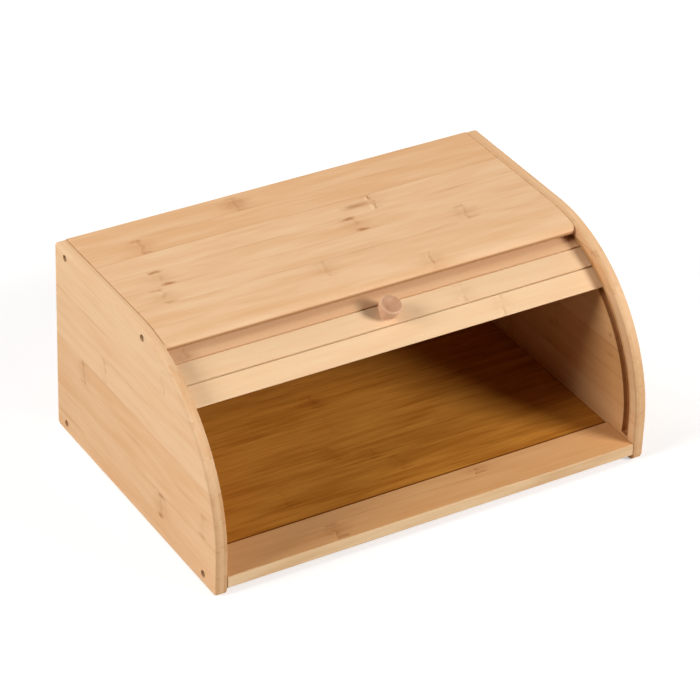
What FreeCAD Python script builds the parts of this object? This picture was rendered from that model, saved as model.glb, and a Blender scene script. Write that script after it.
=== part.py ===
import FreeCAD, Part
import math
import os

# A bamboo bread box with a roll-up tambour door.
#
# The row stands on the feet of its two side panels. X runs across the box, -Y is
# the open front, +Z is up, and the origin lies under the middle of the box.
# All lengths are millimetres and all angles are degrees.

# ---- the case ----
WIDTH = 400.0
DEPTH = 272.0
HEIGHT = 175.0
FRONT = -DEPTH / 2
BACK = DEPTH / 2

SIDE_THICKNESS = 10.0
SIDE_FRONT_RADIUS = 141.0     # quarter-round front of a side panel, up to its flat top
SIDE_FOOT_RADIUS = 5.0        # its lower corners
SIDE_BACK_RADIUS = 3.0        # its upper back corner
SIDE_OUTER_ROUND = 2.2        # eased outer arris
SIDE_INNER_ROUND = 1.2        # eased inner arris
INNER_X = WIDTH / 2 - SIDE_THICKNESS

TOP_THICKNESS = 11.0
TOP_DROP = 0.5                # the top board lies this much below the panels' edges
TOP_FRONT = FRONT + 103.3     # foremost line of the top board
TOP_NOSE_RADIUS = 8.0         # its front edge is rounded over
TOP_LIP_RADIUS = 1.0          # small round under the nose

RAIL_THICKNESS = 10.5         # front sill and rear rail are one stock
RAIL_LIFT = 5.9               # their underside above the table
RAIL_TOP = RAIL_LIFT + RAIL_THICKNESS
RAIL_ROUND = 1.2
SILL_DEPTH = 38.0
REAR_RAIL_FRONT = FRONT + 242.0
REAR_RAIL_BACK = FRONT + 268.0

SHEET_THICKNESS = 4.0         # floor and back are thin sheets held in grooves
GROOVE_PLAY = 0.1             # on each face of a sheet
SHEET_ENTRY = 4.0             # how far a sheet enters its grooves
SHEET_END_PLAY = 0.2
FLOOR_TOP = RAIL_TOP - 1.8
BACK_SHEET_FRONT = FRONT + 262.0

# ---- the tambour track: one arc in each side panel ----
TRACK_Y = FRONT + 141.5
TRACK_Z = 31.0
TRACK_OUTER_RADIUS = 132.2
TRACK_INNER_RADIUS = 123.9
TRACK_DEPTH = 5.5
TRACK_FRONT_ANGLE = -5.5      # above the horizontal through the centre, from the front
TRACK_REAR_ANGLE = 150.0

# ---- the roll door, as it stands open ----
SLAT_COUNT = 10
SLAT_PITCH = 9.0
DOOR_EDGE_ANGLE = 52.0        # lower edge of the door
SLAT_OUTER = 131.2            # flat outer face, from the track's centre
SLAT_INNER = 124.5
SLAT_OUTER_WIDTH = 20.2
SLAT_INNER_WIDTH = 19.2
SLAT_ENTRY = 4.6              # how far a slat's end enters the track
SLAT_ROUND = 0.6
LEADING_ROUND = 1.4           # lower edge of the first slat

CANVAS_OUTER = 124.45
CANVAS_THICKNESS = 0.6
CANVAS_WIDTH = 364.0
CANVAS_MARGIN = 0.4           # degrees short of the door's edges
CANVAS_HOLE_RADIUS = 4.4      # round the head of the knob screw

# ---- the knob, on the second slat ----
KNOB_SLAT = 2
KNOB_FOOT_RADIUS = 6.0
KNOB_NECK_RADIUS = 4.6
KNOB_NECK_HEIGHT = 3.2
KNOB_HEAD_RADIUS = 9.3
KNOB_HEAD_BOTTOM = 6.4
KNOB_HEIGHT = 14.8
KNOB_HEAD_ROUND = 1.6
KNOB_DISH_RADIUS = 6.9
KNOB_DISH_DEPTH = 1.1
KNOB_SCREW_RADIUS = 1.6
KNOB_SCREW_REACH = 9.0        # into the knob
KNOB_SCREW_HEAD_RADIUS = 3.6
KNOB_SCREW_HEAD_HEIGHT = 2.2
KNOB_SCREW_CROSS = (4.0, 0.8, 1.0)    # length, width and depth of each slot of its cross recess

# ---- case screws: two into the top board, one into each rail, on each side ----
SCREW_RADIUS = 1.7
SCREW_LENGTH = 32.0
SCREW_HEAD_RADIUS = 2.9
SCREW_HEAD_HEIGHT = 2.4
SCREW_HEAD_ROUND = 0.5
SCREW_POINT_LENGTH = 2.0
SCREW_TIP_RADIUS = 0.4
SCREW_SOCKET_WIDTH = 2.5      # across the flats of the hexagon
SCREW_SOCKET_DEPTH = 1.4
COUNTERBORE_RADIUS = 3.1
COUNTERBORE_DEPTH = 4.6
SCREW_PLAY = 0.05
TOP_MIDDLE = HEIGHT - TOP_DROP - TOP_THICKNESS / 2
SCREW_PLACES = [
    (FRONT + 21.2, 9.6),
    (FRONT + 255.0, 9.0),
    (FRONT + 121.6, TOP_MIDDLE),
    (FRONT + 253.5, TOP_MIDDLE),
]

ACROSS = FreeCAD.Vector(1, 0, 0)
TOUCH = 1e-4                  # two edges nearer than this are at one place


def yz(y, z, x=0.0):
    return FreeCAD.Vector(x, y, z)


def on_track(radius, angle, x=0.0):
    """Point at a radius and angle about the track's centre, the angle rising from the front."""
    a = math.radians(angle)
    return yz(TRACK_Y - radius * math.cos(a), TRACK_Z + radius * math.sin(a), x)


def line(a, b):
    return Part.LineSegment(a, b).toShape()


def arc_between(a, middle, b):
    return Part.Arc(a, middle, b).toShape()


def turned(centre, radius, angle):
    """Point of a circle in the YZ plane, the angle measured from +Y towards +Z."""
    a = math.radians(angle)
    return centre + yz(radius * math.cos(a), radius * math.sin(a))


def round_corner(centre, radius, start, end):
    return arc_between(
        turned(centre, radius, start),
        turned(centre, radius, (start + end) / 2),
        turned(centre, radius, end),
    )


def closed(edges, x_from, length):
    """Solid from an outline of edges in the YZ plane, run along X."""
    face = Part.Face(Part.Wire(Part.__sortEdges__(edges)))
    solid = face.extrude(FreeCAD.Vector(length, 0, 0))
    solid.translate(FreeCAD.Vector(x_from, 0, 0))
    return solid


def block(x0, x1, y0, y1, z0, z1):
    return Part.makeBox(x1 - x0, y1 - y0, z1 - z0, FreeCAD.Vector(x0, y0, z0))


def rod(radius, x_from, x_to, y, z):
    return Part.makeCylinder(radius, x_to - x_from, yz(y, z, x_from), ACROSS)


def edges_along_x(shape, wanted):
    """Edges parallel to X whose (y, z) the test accepts."""
    found = []
    for edge in shape.Edges:
        ends = [v.Point for v in edge.Vertexes]
        if len(ends) != 2 or abs(ends[0].y - ends[1].y) > TOUCH or abs(ends[0].z - ends[1].z) > TOUCH:
            continue
        if wanted(ends[0].y, ends[0].z):
            found.append(edge)
    return found


# ---------------------------------------------------------------- side panels

def side_outline():
    """Foot, quarter-round front, flat top and straight back, as edges in the YZ plane."""
    arc_z = HEIGHT - SIDE_FRONT_RADIUS
    arc_centre = yz(FRONT + SIDE_FRONT_RADIUS, arc_z)
    foot = SIDE_FOOT_RADIUS
    heel = SIDE_BACK_RADIUS
    return [
        line(yz(FRONT + foot, 0), yz(BACK - foot, 0)),
        round_corner(yz(BACK - foot, foot), foot, -90, 0),
        line(yz(BACK, foot), yz(BACK, HEIGHT - heel)),
        round_corner(yz(BACK - heel, HEIGHT - heel), heel, 0, 90),
        line(yz(BACK - heel, HEIGHT), yz(FRONT + SIDE_FRONT_RADIUS, HEIGHT)),
        round_corner(arc_centre, SIDE_FRONT_RADIUS, 90, 180),
        line(yz(FRONT, arc_z), yz(FRONT, foot)),
        round_corner(yz(FRONT + foot, foot), foot, 180, 270),
    ]


def arris_at(shape, x):
    """Edges of the outline that lies in the plane at x."""
    return [e for e in shape.Edges if all(abs(v.Point.x - x) < TOUCH for v in e.Vertexes)]


def track_cutter(x_from, length):
    """Sector between the track's two walls."""
    middle = (TRACK_FRONT_ANGLE + TRACK_REAR_ANGLE) / 2
    outer = [on_track(TRACK_OUTER_RADIUS, a) for a in (TRACK_FRONT_ANGLE, middle, TRACK_REAR_ANGLE)]
    inner = [on_track(TRACK_INNER_RADIUS, a) for a in (TRACK_FRONT_ANGLE, middle, TRACK_REAR_ANGLE)]
    edges = [
        arc_between(*outer),
        line(outer[2], inner[2]),
        arc_between(*inner),
        line(inner[0], outer[0]),
    ]
    return closed(edges, x_from, length)


def sheet_groove_cutters(x_from, x_to):
    """Grooves for the floor sheet and the back sheet, over a stretch of X."""
    floor = block(
        x_from, x_to,
        FRONT + SILL_DEPTH - SHEET_ENTRY - SHEET_END_PLAY, REAR_RAIL_FRONT + SHEET_ENTRY + SHEET_END_PLAY,
        FLOOR_TOP - SHEET_THICKNESS - GROOVE_PLAY, FLOOR_TOP + GROOVE_PLAY,
    )
    back = block(
        x_from, x_to,
        BACK_SHEET_FRONT - GROOVE_PLAY, BACK_SHEET_FRONT + SHEET_THICKNESS + GROOVE_PLAY,
        RAIL_TOP - SHEET_ENTRY - SHEET_END_PLAY,
        HEIGHT - TOP_DROP - TOP_THICKNESS + SHEET_ENTRY + SHEET_END_PLAY,
    )
    return [floor, back]


def left_side_panel():
    outer_x = -WIDTH / 2
    panel = closed(side_outline(), outer_x, SIDE_THICKNESS)
    panel = panel.makeFillet(SIDE_OUTER_ROUND, arris_at(panel, outer_x))
    panel = panel.makeFillet(SIDE_INNER_ROUND, arris_at(panel, -INNER_X))
    cutters = [track_cutter(-INNER_X - TRACK_DEPTH, TRACK_DEPTH + 1)]
    cutters += sheet_groove_cutters(-INNER_X - SHEET_ENTRY - SHEET_END_PLAY, -INNER_X + 1)
    for y, z in SCREW_PLACES:
        cutters.append(rod(COUNTERBORE_RADIUS, outer_x - 1, outer_x + COUNTERBORE_DEPTH, y, z))
        cutters.append(rod(SCREW_RADIUS + SCREW_PLAY, outer_x, -INNER_X + 1, y, z))
    return panel.cut(cutters)


# ---------------------------------------------------------------- boards and sheets

def top_board():
    """Flat board whose front follows the side panels and ends in a rounded nose."""
    under = HEIGHT - TOP_DROP - TOP_THICKNESS
    top = HEIGHT - TOP_DROP
    sweep = SIDE_FRONT_RADIUS - TOP_DROP
    centre = yz(FRONT + SIDE_FRONT_RADIUS, HEIGHT - SIDE_FRONT_RADIUS)
    reach = centre.y - TOP_NOSE_RADIUS - TOP_FRONT
    lean = 90 + math.degrees(math.asin(reach / (sweep - TOP_NOSE_RADIUS)))
    nose = turned(centre, sweep - TOP_NOSE_RADIUS, lean)
    lip_z = under + TOP_LIP_RADIUS
    nose_end = 180 - math.degrees(math.asin((lip_z - nose.z) / TOP_NOSE_RADIUS))
    nose_foot = turned(nose, TOP_NOSE_RADIUS, nose_end)
    lip = yz(nose_foot.y + TOP_LIP_RADIUS, lip_z)
    edges = [
        line(yz(BACK, under), yz(BACK, top)),
        line(yz(BACK, top), yz(centre.y, top)),
        round_corner(centre, sweep, 90, lean),
        round_corner(nose, TOP_NOSE_RADIUS, lean, nose_end),
        round_corner(lip, TOP_LIP_RADIUS, 180, 270),
        line(yz(lip.y, under), yz(BACK, under)),
    ]
    board = closed(edges, -INNER_X, 2 * INNER_X)
    board = board.cut(sheet_groove_cutters(-INNER_X - 1, INNER_X + 1)[1])
    return drilled(board, SCREW_PLACES[2:])


def drilled(board, places):
    """A board with the screws' pilot holes in both of its ends."""
    reach = SCREW_LENGTH - (SIDE_THICKNESS - COUNTERBORE_DEPTH) + 1
    cutters = []
    for y, z in places:
        cutters.append(rod(SCREW_RADIUS + SCREW_PLAY, -INNER_X - 1, -INNER_X + reach, y, z))
        cutters.append(rod(SCREW_RADIUS + SCREW_PLAY, INNER_X - reach, INNER_X + 1, y, z))
    return board.cut(cutters)


def front_sill():
    sill = block(-INNER_X, INNER_X, FRONT, FRONT + SILL_DEPTH, RAIL_LIFT, RAIL_TOP)
    front_edges = edges_along_x(sill, lambda y, z: abs(y - FRONT) < TOUCH)
    sill = sill.makeFillet(RAIL_ROUND, front_edges)
    sill = sill.cut(sheet_groove_cutters(-INNER_X - 1, INNER_X + 1)[0])
    return drilled(sill, SCREW_PLACES[:1])


def rear_rail():
    rail = block(-INNER_X, INNER_X, REAR_RAIL_FRONT, REAR_RAIL_BACK, RAIL_LIFT, RAIL_TOP)
    rail = rail.cut(sheet_groove_cutters(-INNER_X - 1, INNER_X + 1))
    return drilled(rail, SCREW_PLACES[1:2])


def floor_panel():
    edge_x = INNER_X + SHEET_ENTRY
    return block(
        -edge_x, edge_x,
        FRONT + SILL_DEPTH - SHEET_ENTRY, REAR_RAIL_FRONT + SHEET_ENTRY,
        FLOOR_TOP - SHEET_THICKNESS, FLOOR_TOP,
    )


def back_panel():
    edge_x = INNER_X + SHEET_ENTRY
    return block(
        -edge_x, edge_x,
        BACK_SHEET_FRONT, BACK_SHEET_FRONT + SHEET_THICKNESS,
        RAIL_TOP - SHEET_ENTRY, HEIGHT - TOP_DROP - TOP_THICKNESS + SHEET_ENTRY,
    )


# ---------------------------------------------------------------- roll door

def slat_angle(number):
    """Middle of a slat, numbered from 1 at the door's lower edge."""
    return DOOR_EDGE_ANGLE + SLAT_PITCH * (number - 0.5)


def slat(number):
    """Flat slat with slightly leaning sides and eased outer arrises."""
    length = 2 * (INNER_X + SLAT_ENTRY)
    half_in = SLAT_INNER_WIDTH / 2
    half_out = SLAT_OUTER_WIDTH / 2
    corners = [
        yz(-half_in, SLAT_INNER),
        yz(half_in, SLAT_INNER),
        yz(half_out, SLAT_OUTER),
        yz(-half_out, SLAT_OUTER),
    ]
    plank = closed([line(corners[i], corners[(i + 1) % 4]) for i in range(4)], -length / 2, length)
    upper = edges_along_x(plank, lambda y, z: z > SLAT_OUTER - TOUCH and y > half_out - TOUCH)
    plank = plank.makeFillet(SLAT_ROUND, upper)
    lower = edges_along_x(plank, lambda y, z: z > SLAT_OUTER - TOUCH and y < -half_out + TOUCH)
    plank = plank.makeFillet(LEADING_ROUND if number == 1 else SLAT_ROUND, lower)
    if number == KNOB_SLAT:
        plank = plank.cut([knob_screw_hole()])
    return set_on_track(plank, slat_angle(number))


def set_on_track(shape, angle):
    """Turn a shape that was made above the track's centre to its angle, and set it there."""
    placed = shape.copy()
    placed.rotate(FreeCAD.Vector(0, 0, 0), ACROSS, 90 - angle)
    placed.translate(yz(TRACK_Y, TRACK_Z))
    return placed


def canvas_backing():
    """One strip of canvas behind all the slats, with a hole round the knob screw."""
    start = DOOR_EDGE_ANGLE + CANVAS_MARGIN
    end = DOOR_EDGE_ANGLE + SLAT_COUNT * SLAT_PITCH - CANVAS_MARGIN
    middle = (start + end) / 2
    outer = [on_track(CANVAS_OUTER, a) for a in (start, middle, end)]
    inner = [on_track(CANVAS_OUTER - CANVAS_THICKNESS, a) for a in (start, middle, end)]
    edges = [arc_between(*outer), line(outer[2], inner[2]), arc_between(*inner), line(inner[0], outer[0])]
    strip = closed(edges, -CANVAS_WIDTH / 2, CANVAS_WIDTH)
    hole = Part.makeCylinder(CANVAS_HOLE_RADIUS, 6, FreeCAD.Vector(0, 0, CANVAS_OUTER - 3))
    return strip.cut(set_on_track(hole, slat_angle(KNOB_SLAT)))


def turned_solid(points):
    """Solid turned about the Z axis from (radius, height) points, closed along the axis."""
    corners = [FreeCAD.Vector(r, 0, h) for r, h in points]
    wire = Part.makePolygon(corners + [corners[0]])
    return Part.Face(wire).revolve(FreeCAD.Vector(0, 0, 0), FreeCAD.Vector(0, 0, 1), 360)


def door_knob():
    """Turned knob: small foot, waist, drum head with a dished face and a rounded rim."""
    base = SLAT_OUTER
    top = base + KNOB_HEIGHT
    head_bottom = base + KNOB_HEAD_BOTTOM
    shoulder = KNOB_HEAD_RADIUS - KNOB_HEAD_ROUND
    sag = KNOB_HEAD_ROUND * (1 - math.sqrt(0.5))

    def at(radius, height):
        return FreeCAD.Vector(radius, 0, height)

    foot = at(KNOB_FOOT_RADIUS, base)
    waist = at(KNOB_NECK_RADIUS, base + KNOB_NECK_HEIGHT)
    underside = at(shoulder, head_bottom)
    side_low = at(KNOB_HEAD_RADIUS, head_bottom + KNOB_HEAD_ROUND)
    side_high = at(KNOB_HEAD_RADIUS, top - KNOB_HEAD_ROUND)
    rim = at(shoulder, top)
    edges = [
        line(at(0, base), foot),
        arc_between(foot, waist, underside),
        arc_between(underside, at(KNOB_HEAD_RADIUS - sag, head_bottom + sag), side_low),
        line(side_low, side_high),
        arc_between(side_high, at(KNOB_HEAD_RADIUS - sag, top - sag), rim),
        line(rim, at(0, top)),
        line(at(0, top), at(0, base)),
    ]
    face = Part.Face(Part.Wire(Part.__sortEdges__(edges)))
    knob = face.revolve(FreeCAD.Vector(0, 0, 0), FreeCAD.Vector(0, 0, 1), 360)
    dish_sphere = (KNOB_DISH_RADIUS ** 2 + KNOB_DISH_DEPTH ** 2) / (2 * KNOB_DISH_DEPTH)
    dish = Part.makeSphere(dish_sphere, FreeCAD.Vector(0, 0, top - KNOB_DISH_DEPTH + dish_sphere))
    hole = Part.makeCylinder(
        KNOB_SCREW_RADIUS + SCREW_PLAY, KNOB_SCREW_REACH + 1.5, FreeCAD.Vector(0, 0, base - 0.5))
    return set_on_track(knob.cut([dish, hole]), slat_angle(KNOB_SLAT))


def knob_screw_profile(play):
    """Countersunk screw, or with some play the hole that it needs in the slat."""
    tip = SLAT_OUTER + KNOB_SCREW_REACH + play
    head = SLAT_INNER - play
    return [
        (0, head),
        (KNOB_SCREW_HEAD_RADIUS + play, head),
        (KNOB_SCREW_RADIUS + play, head + KNOB_SCREW_HEAD_HEIGHT + play),
        (KNOB_SCREW_RADIUS + play, tip),
        (0, tip),
    ]


def knob_screw_hole():
    return turned_solid(knob_screw_profile(SCREW_PLAY))


def knob_screw():
    screw = turned_solid(knob_screw_profile(0.0))
    long, narrow, deep = KNOB_SCREW_CROSS
    slots = [
        Part.makeBox(long, narrow, deep, FreeCAD.Vector(-long / 2, -narrow / 2, SLAT_INNER)),
        Part.makeBox(narrow, long, deep, FreeCAD.Vector(-narrow / 2, -long / 2, SLAT_INNER)),
    ]
    return set_on_track(screw.cut(slots), slat_angle(KNOB_SLAT))


# ---------------------------------------------------------------- case screws

def case_screw(y, z):
    """Socket screw whose head sits at the bottom of the left panel's counterbore."""
    seat = -WIDTH / 2 + COUNTERBORE_DEPTH
    head = rod(SCREW_HEAD_RADIUS, seat - SCREW_HEAD_HEIGHT, seat, y, z)
    head = head.makeFillet(SCREW_HEAD_ROUND, arris_at(head, seat - SCREW_HEAD_HEIGHT))
    point_x = seat + SCREW_LENGTH - SCREW_POINT_LENGTH
    shank = rod(SCREW_RADIUS, seat - 0.5, point_x, y, z)
    point = Part.makeCone(SCREW_RADIUS, SCREW_TIP_RADIUS, SCREW_POINT_LENGTH, yz(y, z, point_x), ACROSS)
    radius = SCREW_SOCKET_WIDTH / math.sqrt(3)
    corners = [turned(yz(y, z), radius, 60 * k) for k in range(6)]
    hexagon = closed(
        [line(corners[k], corners[(k + 1) % 6]) for k in range(6)],
        seat - SCREW_HEAD_HEIGHT - 0.2, SCREW_SOCKET_DEPTH + 0.2,
    )
    return head.fuse([shank, point]).removeSplitter().cut(hexagon)


def left_case_screws():
    return Part.makeCompound([case_screw(y, z) for y, z in SCREW_PLACES])


def mirrored(shape):
    return shape.mirror(FreeCAD.Vector(0, 0, 0), ACROSS)


def as_solids(shape):
    """The shape's solids alone: one solid, or a compound of several."""
    return shape.Solids[0] if len(shape.Solids) == 1 else Part.makeCompound(shape.Solids)


def main():
    left_panel = left_side_panel()
    left_screws = left_case_screws()
    nodes = {
        "left_side_panel": left_panel,
        "right_side_panel": mirrored(left_panel),
        "top_board": top_board(),
        "front_sill": front_sill(),
        "rear_rail": rear_rail(),
        "floor_panel": floor_panel(),
        "back_panel": back_panel(),
        "canvas_backing": canvas_backing(),
        "door_knob": door_knob(),
        "knob_screw": knob_screw(),
        "left_case_screws": left_screws,
        "right_case_screws": mirrored(left_screws),
    }
    for number in range(1, SLAT_COUNT + 1):
        nodes["slat_%02d" % number] = slat(number)
    os.makedirs("parts", exist_ok=True)
    for name, shape in nodes.items():
        solid = as_solids(shape)
        if not solid.isValid():
            raise ValueError(name + " is not a valid shape")
        solid.exportStep("parts/%s.step" % name)
        box = solid.BoundBox
        print("%-18s %d solid(s)  x %.1f..%.1f  y %.1f..%.1f  z %.1f..%.1f" % (
            name, len(solid.Solids), box.XMin, box.XMax, box.YMin, box.YMax, box.ZMin, box.ZMax))


main()
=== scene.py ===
import math

import bmesh
import bpy
from mathutils import Matrix, Vector


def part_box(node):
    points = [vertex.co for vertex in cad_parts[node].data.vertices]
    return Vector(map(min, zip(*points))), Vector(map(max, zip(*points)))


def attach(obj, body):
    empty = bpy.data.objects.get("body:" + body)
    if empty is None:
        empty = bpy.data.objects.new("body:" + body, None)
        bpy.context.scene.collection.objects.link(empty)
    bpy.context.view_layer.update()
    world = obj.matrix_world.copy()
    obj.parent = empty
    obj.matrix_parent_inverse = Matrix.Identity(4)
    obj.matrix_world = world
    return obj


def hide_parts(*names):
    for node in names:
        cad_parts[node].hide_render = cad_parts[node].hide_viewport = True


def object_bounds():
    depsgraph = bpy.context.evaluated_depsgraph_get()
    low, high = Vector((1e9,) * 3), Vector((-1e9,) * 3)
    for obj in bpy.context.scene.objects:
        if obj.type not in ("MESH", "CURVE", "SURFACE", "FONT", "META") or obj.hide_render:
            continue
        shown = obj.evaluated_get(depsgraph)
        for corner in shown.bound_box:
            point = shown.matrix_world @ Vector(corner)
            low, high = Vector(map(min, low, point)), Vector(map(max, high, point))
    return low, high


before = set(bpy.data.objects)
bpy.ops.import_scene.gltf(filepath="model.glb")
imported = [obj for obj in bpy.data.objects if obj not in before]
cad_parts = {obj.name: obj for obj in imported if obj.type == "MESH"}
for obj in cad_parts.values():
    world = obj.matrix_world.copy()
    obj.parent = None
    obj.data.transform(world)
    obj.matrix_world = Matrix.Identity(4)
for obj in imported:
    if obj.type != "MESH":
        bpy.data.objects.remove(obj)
cad_low, cad_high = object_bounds()


# ------------------------------------------------------------------ camera
# A long lens looks down on the box's left front corner from nearly three metres away,
# so that the sides stay almost parallel. The camera leans a little to one side.

MM = 0.001
CAMERA_TURN = math.radians(-31.97)
CAMERA_TILT = math.radians(33.07)
CAMERA_LEAN = math.radians(2.23)
CAMERA_AWAY = 2.699
CAMERA_RIGHT = 0.743 * MM
CAMERA_UP = 74.33 * MM
FOCAL_LENGTH = 168.07
FILM_WIDTH = 36.0

away = Vector((
    math.sin(CAMERA_TURN) * math.cos(CAMERA_TILT),
    -math.cos(CAMERA_TURN) * math.cos(CAMERA_TILT),
    math.sin(CAMERA_TILT),
))
level = Vector((math.cos(CAMERA_TURN), math.sin(CAMERA_TURN), 0))
upright = away.cross(level)
right = level * math.cos(CAMERA_LEAN) + upright * math.sin(CAMERA_LEAN)
up = upright * math.cos(CAMERA_LEAN) - level * math.sin(CAMERA_LEAN)

lens = bpy.data.cameras.new("studio camera")
lens.lens = FOCAL_LENGTH
lens.sensor_width = FILM_WIDTH
camera = bpy.data.objects.new("studio camera", lens)
turned_frame = Matrix((right, up, away)).transposed().to_4x4()
turned_frame.translation = right * CAMERA_RIGHT + up * CAMERA_UP + away * CAMERA_AWAY
camera.matrix_world = turned_frame
bpy.context.scene.collection.objects.link(camera)
bpy.context.scene.camera = camera
bpy.context.scene.view_settings.view_transform = "Standard"


# ------------------------------------------------------------------ studio
# A white table in a white surround, and three large soft boxes four metres away. The
# strongest stands low in front on the right and draws the knob's and the rim's shadows.
# The others light the left side and, from behind, the top.

TABLE_HALF = 5.0
TABLE_DROP = 0.2 * MM          # keeps the table clear of the panels' feet
TABLE_GREY = 0.68
TABLE_SPECKLE = 0.005
TABLE_LIFT = 0.48              # makes the lit table pure white to the camera
TABLE_CORNERS = [(-1, -1), (1, -1), (1, 1), (-1, 1)]
AIM = Vector((0, 0, 80 * MM))  # what the soft boxes are turned to


def put(tree, kind, inputs=None, **settings):
    """A new node in a tree. Its inputs are given as numbers or as values in the tree."""
    made = tree.nodes.new(kind)
    for name, setting in settings.items():
        setattr(made, name, setting)
    for name, given in (inputs or {}).items():
        if isinstance(given, Value):
            tree.links.new(given.socket, made.inputs[name])
        else:
            made.inputs[name].default_value = given
    return made


def get(tree, kind, inputs=None, output=0, **settings):
    """One of the values that a new node gives, as a rule its first."""
    return Value(tree, put(tree, kind, inputs, **settings).outputs[output])


class Value:
    """A value in a node tree. What is worked out from it is worked out there, by nodes."""

    def __init__(self, tree, socket):
        self.tree = tree
        self.socket = socket

    def by(self, operation, *others, clamp=False):
        """The result of one step of arithmetic."""
        inputs = dict(enumerate((self, *others)))
        return get(self.tree, "ShaderNodeMath", inputs, operation=operation, use_clamp=clamp)

    def __add__(self, other):
        return self.by("ADD", other)

    def __sub__(self, other):
        return self.by("SUBTRACT", other)

    def __rsub__(self, other):
        return get(self.tree, "ShaderNodeMath", {0: other, 1: self}, operation="SUBTRACT")

    def __mul__(self, other):
        return self.by("MULTIPLY", other)

    def __truediv__(self, other):
        return self.by("DIVIDE", other)

    def __abs__(self):
        return self.by("ABSOLUTE")


def noise(spot, scale, detail, **settings):
    """Cloudy noise at a spot, from 0 to 1 and about one half on average."""
    inputs = {"Vector": spot, "Scale": scale, "Detail": detail, **settings}
    return get(spot.tree, "ShaderNodeTexNoise", inputs)


def scaled(value, low, high, start=0.0, end=1.0):
    """Low up to the value's start, high from its end on, and in even steps between them."""
    return get(value.tree, "ShaderNodeMapRange", {
        "Value": value, "From Min": start, "From Max": end, "To Min": low, "To Max": high})


def new_material(name):
    """An empty material, its tree, and the place on the object that is being shaded."""
    made = bpy.data.materials.new(name)
    made.use_nodes = True
    tree = made.node_tree
    tree.nodes.clear()
    return made, tree, get(tree, "ShaderNodeTexCoord", output="Object")


def surface(shader):
    """Makes the shader its material's surface."""
    put(shader.tree, "ShaderNodeOutputMaterial", {"Surface": shader})


table_white, tree, spot = new_material("table white")
speckle = noise(spot, 30.0, 2.0)
table_tone = scaled(speckle, TABLE_GREY - TABLE_SPECKLE, TABLE_GREY + TABLE_SPECKLE)
table_paint = get(tree, "ShaderNodeBsdfDiffuse", {"Color": table_tone})
to_camera = get(tree, "ShaderNodeLightPath", output="Is Camera Ray")
table_glow = get(tree, "ShaderNodeEmission", {"Strength": to_camera * TABLE_LIFT})
surface(get(tree, "ShaderNodeAddShader", {0: table_paint, 1: table_glow}))

table_mesh = bpy.data.meshes.new("table")
table_points = [(x * TABLE_HALF, y * TABLE_HALF, -TABLE_DROP) for x, y in TABLE_CORNERS]
table_mesh.from_pydata(table_points, [], [(0, 1, 2, 3)])
table_mesh.materials.append(table_white)
table = bpy.data.objects.new("table", table_mesh)
bpy.context.scene.collection.objects.link(table)

surround = bpy.data.worlds.new("white surround")
surround.use_nodes = True
tree = surround.node_tree
tree.nodes.clear()
seen = get(tree, "ShaderNodeLightPath", output="Is Camera Ray")
for rays in ("Is Glossy Ray", "Is Transmission Ray"):
    seen = seen.by("MAXIMUM", get(tree, "ShaderNodeLightPath", output=rays))
background = get(tree, "ShaderNodeBackground", {"Strength": seen})
put(tree, "ShaderNodeOutputWorld", {"Surface": background})
bpy.context.scene.world = surround


def soft_box(name, place, size, power):
    """A square lamp behind a diffuser, turned towards the middle of the box."""
    lamp = bpy.data.lights.new(name, "AREA")
    lamp.shape = "SQUARE"
    lamp.size = size
    lamp.energy = power
    stand = bpy.data.objects.new(name, lamp)
    stand.location = place
    stand.rotation_euler = (AIM - Vector(place)).to_track_quat("-Z", "Y").to_euler()
    stand.visible_camera = False
    bpy.context.scene.collection.objects.link(stand)


soft_box("soft box left", (-3.46, 0.0, 2.08), size=1.4, power=104.0)
soft_box("soft box behind", (-0.85, 3.17, 2.37), size=2.0, power=86.0)
soft_box("soft box front right", (2.19, -2.81, 1.90), size=1.3, power=154.0)


# ------------------------------------------------------------------ side panels
# Two boards of laminated bamboo, three plies of flat strips glued edge to edge with the
# grain running front to back. The front is cut to a quarter round, every arris is eased,
# and the inner face carries the door's track and the grooves for the two thin sheets.

FRONT = cad_low.y
BACK = cad_high.y
TALL = cad_high.z
OUTER_X = cad_high.x
INNER_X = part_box("top_board")[1].x
PANEL_SWEEP = 141 * MM
PANEL_FOOT = 5 * MM
PANEL_HEEL = 3 * MM
OUTER_ROUND = 2.2 * MM
INNER_ROUND = 1.2 * MM
ROUND_STEPS = 7
SWEEP_STEPS = 72

TRACK_CENTRE = Vector((0, FRONT + 141.5 * MM, 31 * MM))
TRACK_OUTER = 132.2 * MM
TRACK_INNER = 123.9 * MM
TRACK_DEEP = 5.5 * MM
TRACK_FROM = math.radians(-5.5)
TRACK_TO = math.radians(150)
TRACK_STEPS = 120

SCREW_HOLE = 3.1 * MM
SCREW_HOLE_DEEP = 4.6 * MM
HOLE_SIDES = 40
SCREW_SPOTS = [
    (FRONT + 21.2 * MM, 9.6 * MM),
    (FRONT + 255 * MM, 9 * MM),
    (FRONT + 121.6 * MM, 169 * MM),
    (FRONT + 253.5 * MM, 169 * MM),
]

PLIES = (INNER_X + 3.3 * MM, INNER_X + 6.7 * MM)     # where the three plies meet
PLY_SHIFT = 3.5 * MM           # how far the middle ply's joints lie off the outer ones
PANEL_JOINT = 19 * MM

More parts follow.
